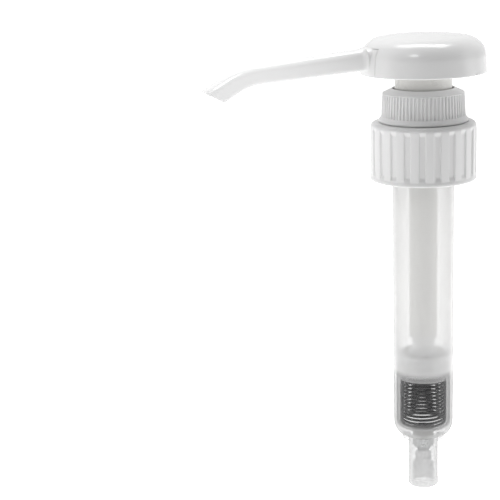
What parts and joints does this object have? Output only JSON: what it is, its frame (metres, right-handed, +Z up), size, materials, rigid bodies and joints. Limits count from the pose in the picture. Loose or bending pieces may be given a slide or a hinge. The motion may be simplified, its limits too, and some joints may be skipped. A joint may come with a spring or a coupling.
{
  "type": "condiment pump dispenser",
  "caption": "Lock-down condiment pump with a long bent spout, domed head, ribbed collar, screw closure and a translucent pump cylinder with spring, piston and ball valves.",
  "frame": {"origin": "centre of the gasket's lower face, where the pump rests on the rim of the neck it is screwed to", "axes": "+Z up the pump axis towards the head; -X along the spout; +Y to the left of someone looking along the spout from the head"},
  "size_m": [0.1167, 0.0512, 0.1935],
  "materials": {
    "gloss_white": "glossy moulded polypropylene",
    "satin_white": "satin moulded polypropylene",
    "natural_pp": "unpigmented, slightly ivory polypropylene",
    "frosted_pp": "translucent frosted polypropylene",
    "soft_white": "soft low-density polyethylene",
    "foam_white": "closed-cell polyethylene foam",
    "spring_steel": "drawn stainless wire",
    "steel_ball": "polished stainless",
    "glass_ball": "clear glass"
  },
  "bodies": {
    "pump_body": {"housing": "frosted_pp", "gasket": "foam_white", "collar": "satin_white", "stem_guide": "satin_white", "stem_wiper": "soft_white", "ball_cage": "natural_pp", "spring": "spring_steel"},
    "closure": {"closure": "satin_white"},
    "piston": {"piston": "soft_white"},
    "plunger": {"head_cap": "gloss_white", "spout_body": "gloss_white", "lock_sleeve": "natural_pp", "stem": "natural_pp", "outlet_seat": "natural_pp", "piston_carrier": "natural_pp"},
    "inlet_ball": {"inlet_ball": "glass_ball"},
    "outlet_ball": {"outlet_ball": "steel_ball"}
  },
  "joints": [
    {"name": "pump_stroke", "type": "slide", "parent": "pump_body", "child": "piston", "axis": [0, 0, 1], "range_m": [0, 0.075], "deforming": ["spring"]},
    {"name": "head_swivel", "type": "hinge", "parent": "piston", "child": "plunger", "pos_m": [0, 0, 0], "axis": [0, 0, 1], "continuous": true},
    {"name": "closure_spin", "type": "hinge", "parent": "pump_body", "child": "closure", "pos_m": [0, 0, 0], "axis": [0, 0, 1], "continuous": true},
    {"name": "inlet_ball_lift", "type": "slide", "parent": "pump_body", "child": "inlet_ball", "axis": [0, 0, 1], "range_m": [0, 0.0022]},
    {"name": "outlet_ball_lift", "type": "slide", "parent": "plunger", "child": "outlet_ball", "axis": [0, 0, 1], "range_m": [0, 0.0027]}
  ]
}
